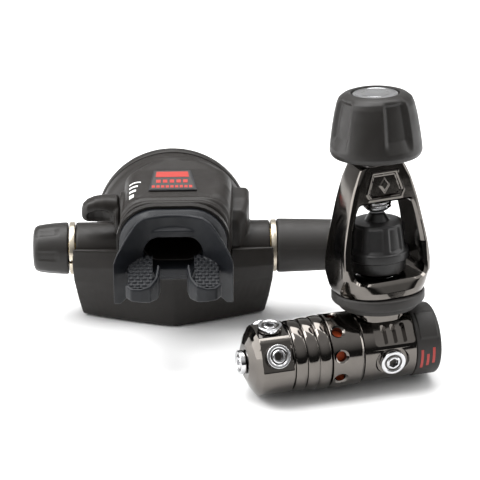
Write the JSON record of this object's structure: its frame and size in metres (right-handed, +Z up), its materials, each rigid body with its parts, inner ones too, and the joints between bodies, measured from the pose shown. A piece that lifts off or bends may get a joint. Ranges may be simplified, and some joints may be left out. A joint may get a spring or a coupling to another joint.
{
  "type": "scuba regulator set",
  "caption": "Piston first stage with a yoke clamp and dust cap, beside a second stage demand valve with mouthpiece, purge button and adjusting knob.",
  "frame": {"origin": "on the floor, below the middle of the whole set's box", "axes": "+Z up; +X along the second stage's barrel towards its hose end; -Y towards the diver's side, which the mouthpiece faces"},
  "size_m": [0.1894, 0.1374, 0.1379],
  "materials": {
    "black_chrome": "polished dark plating",
    "bright_chrome": "polished",
    "satin_ring": "satin champagne",
    "brass": "machined",
    "spring_steel": "drawn wire and pressed sheet",
    "case_plastic": "fine moulded grain",
    "soft_black": "satin soft-touch",
    "rubber": "matte",
    "silicone": "smooth matte silicone",
    "orange_plastic": "moulded",
    "seat_plastic": "machined"
  },
  "bodies": {
    "first_stage": {"main_body": "black_chrome", "spring_barrel": "black_chrome", "turret_bolt": "brass", "main_spring": "spring_steel", "spring_sleeve": "orange_plastic", "high_pressure_seat": "seat_plastic", "seat_plug": "bright_chrome", "end_cover": "rubber", "high_pressure_plug_front": "bright_chrome", "high_pressure_plug_rear": "bright_chrome", "yoke_collar": "rubber", "yoke": "black_chrome", "yoke_retainer": "bright_chrome", "retainer_o_ring": "rubber", "inlet_filter": "brass"},
    "turret": {"turret": "black_chrome", "low_pressure_plug_top": "bright_chrome", "low_pressure_plug_front": "bright_chrome", "low_pressure_plug_rear": "bright_chrome", "low_pressure_plug_lower": "bright_chrome", "low_pressure_plug_nose": "bright_chrome"},
    "piston": {"piston": "spring_steel", "piston_o_ring": "rubber"},
    "dust_cap": {"dust_cap": "soft_black"},
    "yoke_screw": {"yoke_screw": "bright_chrome"},
    "yoke_knob": {"yoke_knob": "soft_black", "knob_badge": "bright_chrome"},
    "second_stage": {"case": "case_plastic", "front_cover": "case_plastic", "diaphragm": "silicone", "air_barrel": "brass", "orifice": "bright_chrome", "poppet_spring": "spring_steel", "left_ring": "satin_ring", "right_ring": "satin_ring", "label_plate": "black_chrome", "exhaust_valve": "silicone", "exhaust_tee": "case_plastic", "mouthpiece": "silicone", "mouthpiece_clamp": "soft_black"},
    "purge_button": {"purge_button": "soft_black", "purge_spring": "spring_steel"},
    "diaphragm_disc": {"diaphragm_disc": "spring_steel"},
    "demand_lever": {"demand_lever": "spring_steel"},
    "poppet": {"poppet": "spring_steel"},
    "effort_knob": {"effort_knob": "soft_black"},
    "adjust_screw": {"adjust_screw": "brass"},
    "venturi": {"venturi_lever": "case_plastic", "venturi_vane": "soft_black"},
    "hose_end": {"hose_nut": "bright_chrome", "hose_sleeve": "rubber"}
  },
  "joints": [
    {"name": "second_stage_slide", "type": "slide", "parent": "first_stage", "child": "second_stage", "axis": [-1, 0, 0], "range_m": [0, 0.15]},
    {"name": "turret_swivel", "type": "hinge", "parent": "first_stage", "child": "turret", "pos_m": [0.06677, -0.03791, 0.01795], "axis": [0.9681, 0.2504, 0], "continuous": true},
    {"name": "piston_slide", "type": "slide", "parent": "first_stage", "child": "piston", "axis": [0.9681, 0.2504, 0], "range_m": [0, 0.0008], "stiffness_N_per_m": 2000},
    {"name": "knob_turn", "type": "hinge", "parent": "yoke_screw", "child": "yoke_knob", "pos_m": [0.06677, -0.03791, 0.01795], "axis": [-0.0283, 0.1096, 0.9936], "range_deg": [0, 2160]},
    {"name": "screw_travel", "type": "slide", "parent": "first_stage", "child": "yoke_screw", "axis": [-0.0283, 0.1096, 0.9936], "range_m": [0, 0.0121]},
    {"name": "dust_cap_lift", "type": "slide", "parent": "first_stage", "child": "dust_cap", "axis": [-0.0283, 0.1096, 0.9936], "range_m": [0, 0.0092]},
    {"name": "purge_press", "type": "slide", "parent": "second_stage", "child": "purge_button", "axis": [0, -1, 0], "range_m": [0, 0.0042], "stiffness_N_per_m": 300},
    {"name": "diaphragm_travel", "type": "slide", "parent": "second_stage", "child": "diaphragm_disc", "axis": [0, -1, 0], "range_m": [0, 0.0032]},
    {"name": "lever_swing", "type": "hinge", "parent": "second_stage", "child": "demand_lever", "pos_m": [-0.03723, 0.04309, 0.0354], "axis": [0, 0, -1], "range_deg": [0, 10.6]},
    {"name": "poppet_slide", "type": "slide", "parent": "second_stage", "child": "poppet", "axis": [-1, 0, 0], "range_m": [0, 0.0013]},
    {"name": "effort_knob_turn", "type": "hinge", "parent": "second_stage", "child": "effort_knob", "pos_m": [-0.07784, 0.03409, 0.0354], "axis": [1, 0, 0], "range_deg": [0, 720]},
    {"name": "adjust_travel", "type": "slide", "parent": "second_stage", "child": "adjust_screw", "axis": [1, 0, 0], "range_m": [0, 0.0031]},
    {"name": "venturi_turn", "type": "hinge", "parent": "second_stage", "child": "venturi", "pos_m": [-0.05253, 0.02609, 0.0559], "axis": [1, 0, 0], "range_deg": [0, 40]},
    {"name": "hose_nut_turn", "type": "hinge", "parent": "second_stage", "child": "hose_end", "pos_m": [0.04476, 0.03409, 0.0354], "axis": [1, 0, 0], "continuous": true}
  ],
  "couplings": [
    {"joint": "screw_travel", "follows": "knob_turn", "m_per_rad": 0.00031831},
    {"joint": "dust_cap_lift", "follows": "knob_turn", "m_per_rad": 0.00023873},
    {"joint": "diaphragm_travel", "follows": "purge_press", "ratio": 0.75},
    {"joint": "lever_swing", "follows": "purge_press", "rad_per_m": 43},
    {"joint": "poppet_slide", "follows": "purge_press", "ratio": 0.3},
    {"joint": "adjust_travel", "follows": "effort_knob_turn", "m_per_rad": 0.00023873}
  ]
}
